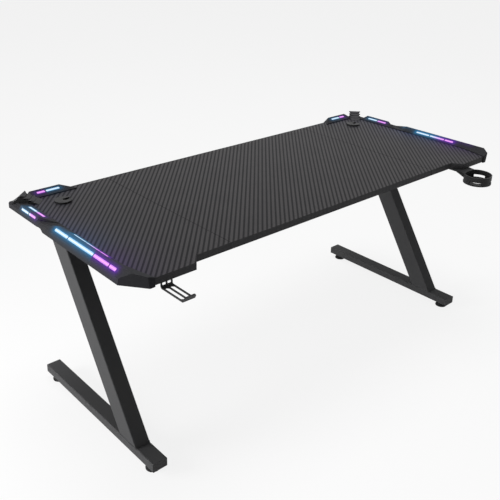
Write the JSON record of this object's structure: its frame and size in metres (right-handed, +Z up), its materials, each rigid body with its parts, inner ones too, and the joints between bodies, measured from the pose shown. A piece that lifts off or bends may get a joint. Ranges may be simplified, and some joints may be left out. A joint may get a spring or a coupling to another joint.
{
  "type": "gaming desk",
  "caption": "Long desk on Z-shaped steel legs with a spliced dark worktop, ridged edge trims with light bars, cable grommets, a headphone hook and a cup holder.",
  "frame": {"origin": "on the floor under the middle of the bounding box, levelling feet screwed right in", "axes": "+X along the worktop to the right as seen by the sitter, +Y from the sitter to the rear edge, +Z up"},
  "size_m": [1.844, 0.908, 0.78],
  "materials": {
    "worktop_laminate": "dark laminate with a diagonal woven look",
    "board_core": "bare wood",
    "leg_steel": "matte black powder coat",
    "bare_steel": "zinc plated",
    "cap_plastic": "matte",
    "foot_rubber": "matte",
    "trim_plastic": "fine grained dark grey",
    "light_lens": "translucent, lit cyan to magenta",
    "light_strip": "white strip with light chips",
    "grommet_plastic": "satin",
    "accessory_plastic": "satin black"
  },
  "bodies": {
    "desk": {"worktop_left": "worktop_laminate", "worktop_centre": "worktop_laminate", "worktop_right": "worktop_laminate", "seam_tongues": "board_core", "splice_plates": "bare_steel", "leg_left_top_bar": "leg_steel", "leg_left_diagonal": "leg_steel", "leg_left_foot_bar": "leg_steel", "leg_right_top_bar": "leg_steel", "leg_right_diagonal": "leg_steel", "leg_right_foot_bar": "leg_steel", "top_bar_caps": "cap_plastic", "foot_bar_caps": "cap_plastic", "cross_beam_rear": "leg_steel", "cross_beam_front": "leg_steel", "trim_front_left": "trim_plastic", "trim_front_right": "trim_plastic", "trim_rear_left": "trim_plastic", "trim_rear_right": "trim_plastic", "corner_block_left": "trim_plastic", "corner_block_right": "trim_plastic", "lenses_front_left": "light_lens", "lenses_front_right": "light_lens", "lenses_rear_left": "light_lens", "lenses_rear_right": "light_lens", "light_strip_front_left": "light_strip", "light_strip_front_right": "light_strip", "light_strip_rear_left": "light_strip", "light_strip_rear_right": "light_strip", "grommet_sleeve_left": "grommet_plastic", "grommet_sleeve_right": "grommet_plastic", "headphone_hook": "accessory_plastic", "cup_holder": "accessory_plastic", "power_inlet": "accessory_plastic"},
    "front_left_foot": {"foot_front_left": "foot_rubber"},
    "rear_left_foot": {"foot_rear_left": "foot_rubber"},
    "front_right_foot": {"foot_front_right": "foot_rubber"},
    "rear_right_foot": {"foot_rear_right": "foot_rubber"},
    "left_cap": {"grommet_cap_left": "grommet_plastic"},
    "right_cap": {"grommet_cap_right": "grommet_plastic"}
  },
  "joints": [
    {"name": "front_left_foot_level", "type": "slide", "parent": "desk", "child": "front_left_foot", "axis": [0, 0, -1], "range_m": [0, 0.012]},
    {"name": "rear_left_foot_level", "type": "slide", "parent": "desk", "child": "rear_left_foot", "axis": [0, 0, -1], "range_m": [0, 0.012]},
    {"name": "front_right_foot_level", "type": "slide", "parent": "desk", "child": "front_right_foot", "axis": [0, 0, -1], "range_m": [0, 0.012]},
    {"name": "rear_right_foot_level", "type": "slide", "parent": "desk", "child": "rear_right_foot", "axis": [0, 0, -1], "range_m": [0, 0.012]},
    {"name": "left_cap_turn", "type": "hinge", "parent": "desk", "child": "left_cap", "pos_m": [-0.77, 0.329, 0.753], "axis": [0, 0, 1], "continuous": true},
    {"name": "right_cap_turn", "type": "hinge", "parent": "desk", "child": "right_cap", "pos_m": [0.77, 0.329, 0.753], "axis": [0, 0, 1], "continuous": true}
  ]
}
